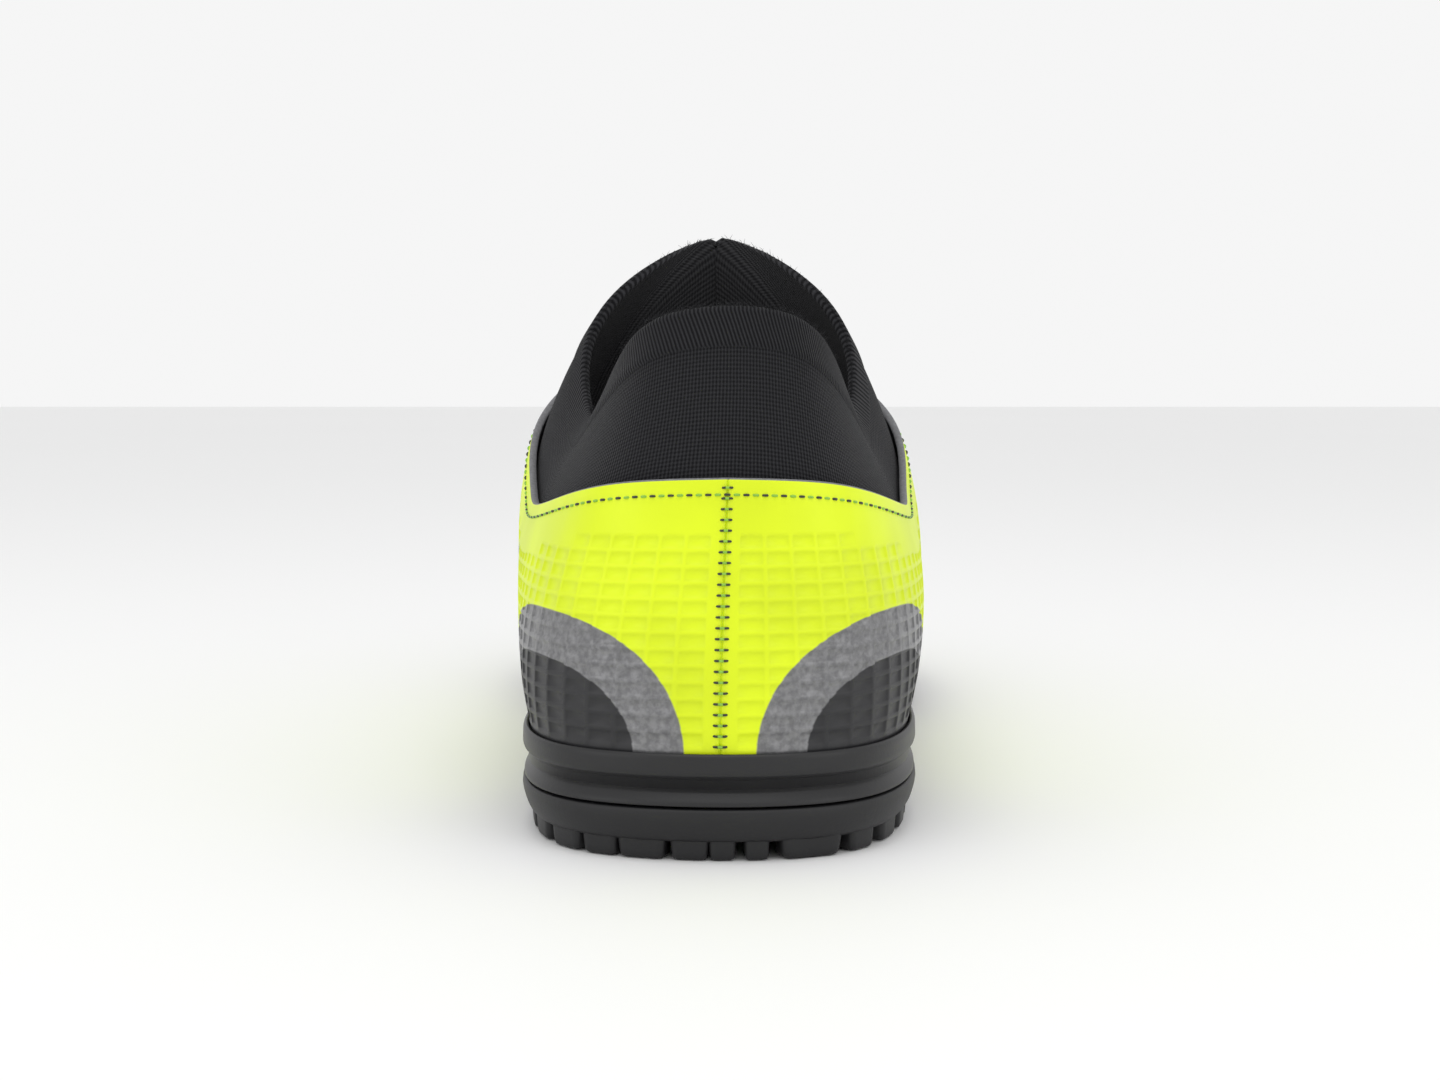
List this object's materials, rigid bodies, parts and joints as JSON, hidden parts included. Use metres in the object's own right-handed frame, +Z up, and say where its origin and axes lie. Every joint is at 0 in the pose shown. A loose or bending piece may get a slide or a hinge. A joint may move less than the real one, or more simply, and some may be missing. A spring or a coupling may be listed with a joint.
{
  "type": "football shoe",
  "caption": "Right football shoe for artificial turf: laced coated upper over a knitted sock collar, foam midsole and a rubber outsole with short studs.",
  "frame": {"origin": "on the ground, in the middle of the foot of the heel's centre stud", "axes": "+Z up, +Y from heel to toe, +X to the lateral (outer) side of the right foot"},
  "size_m": [0.1026, 0.2902, 0.1143],
  "materials": {
    "coated_yellow": "satin synthetic, embossed",
    "knit_black": "matt knit",
    "foam_black": "satin foam skin",
    "rubber_black": "matt rubber",
    "insole_black": "matt textile",
    "lace_black": "matt woven"
  },
  "bodies": {
    "root": {"upper": "coated_yellow", "sock_collar": "knit_black", "midsole": "foam_black", "outsole": "rubber_black", "insole": "insole_black", "laces": "lace_black"}
  },
  "joints": []
}
